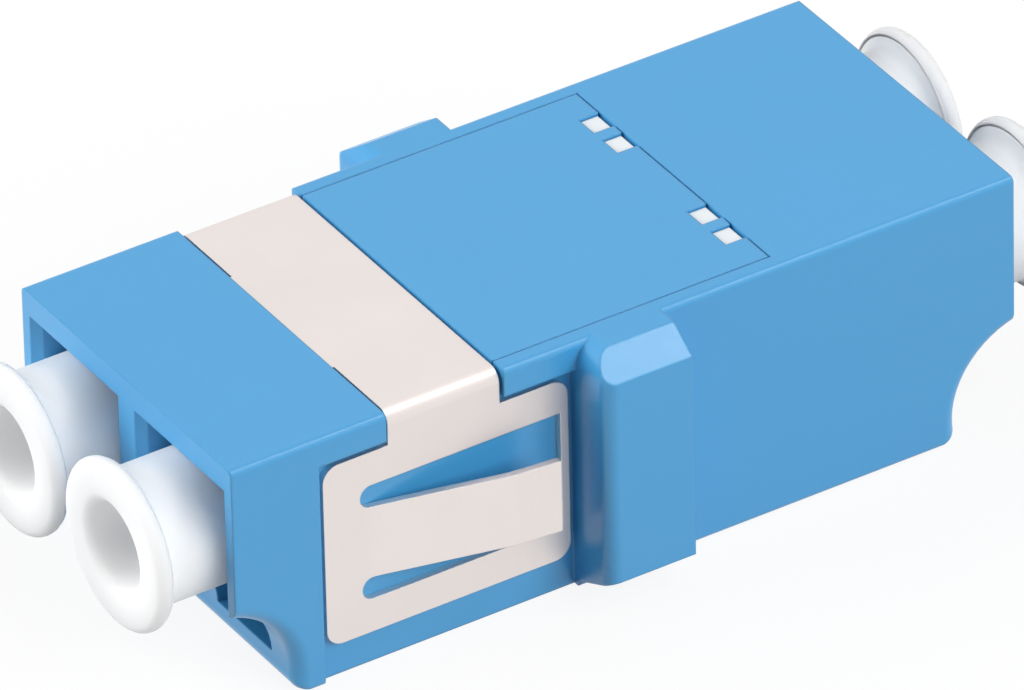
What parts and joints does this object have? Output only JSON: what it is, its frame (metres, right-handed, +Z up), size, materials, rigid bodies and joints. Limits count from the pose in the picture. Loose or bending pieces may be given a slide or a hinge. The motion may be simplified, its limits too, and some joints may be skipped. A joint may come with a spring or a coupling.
{
  "type": "fibre optic adapter",
  "caption": "Duplex coupler block that lines up two pairs of small fibre connectors through a panel, with side flanges, a spring clip over the top and round dust plugs in its ports.",
  "frame": {"origin": "on the underside, midway across, in the plane where the flange bears on a panel", "axes": "+X from the front ports to the rear ports, +Y across the ports to the left, +Z up, away from the latch side"},
  "size_m": [0.0342, 0.016, 0.0093],
  "materials": {
    "housing_plastic": "blue, semi-gloss moulding",
    "carrier_plastic": "white, satin moulding",
    "sleeve_ceramic": "white, polished zirconia",
    "clip_steel": "satin spring steel",
    "plug_plastic": "white, soft and slightly translucent"
  },
  "bodies": {
    "adapter": {"outer_housing": "housing_plastic", "access_cover": "housing_plastic", "front_sleeve_carrier": "carrier_plastic", "rear_sleeve_carrier": "carrier_plastic", "left_split_sleeve": "sleeve_ceramic", "right_split_sleeve": "sleeve_ceramic", "panel_clip": "clip_steel"},
    "front_left_plug": {"front_left_dust_plug": "plug_plastic"},
    "front_right_plug": {"front_right_dust_plug": "plug_plastic"},
    "rear_left_plug": {"rear_left_dust_plug": "plug_plastic"},
    "rear_right_plug": {"rear_right_dust_plug": "plug_plastic"}
  },
  "joints": [
    {"name": "front_left_plug_pull", "type": "slide", "parent": "adapter", "child": "front_left_plug", "axis": [-1, 0, 0], "range_m": [0, 0.02]},
    {"name": "front_right_plug_pull", "type": "slide", "parent": "adapter", "child": "front_right_plug", "axis": [-1, 0, 0], "range_m": [0, 0.02]},
    {"name": "rear_left_plug_pull", "type": "slide", "parent": "adapter", "child": "rear_left_plug", "axis": [1, 0, 0], "range_m": [0, 0.02]},
    {"name": "rear_right_plug_pull", "type": "slide", "parent": "adapter", "child": "rear_right_plug", "axis": [1, 0, 0], "range_m": [0, 0.02]}
  ]
}
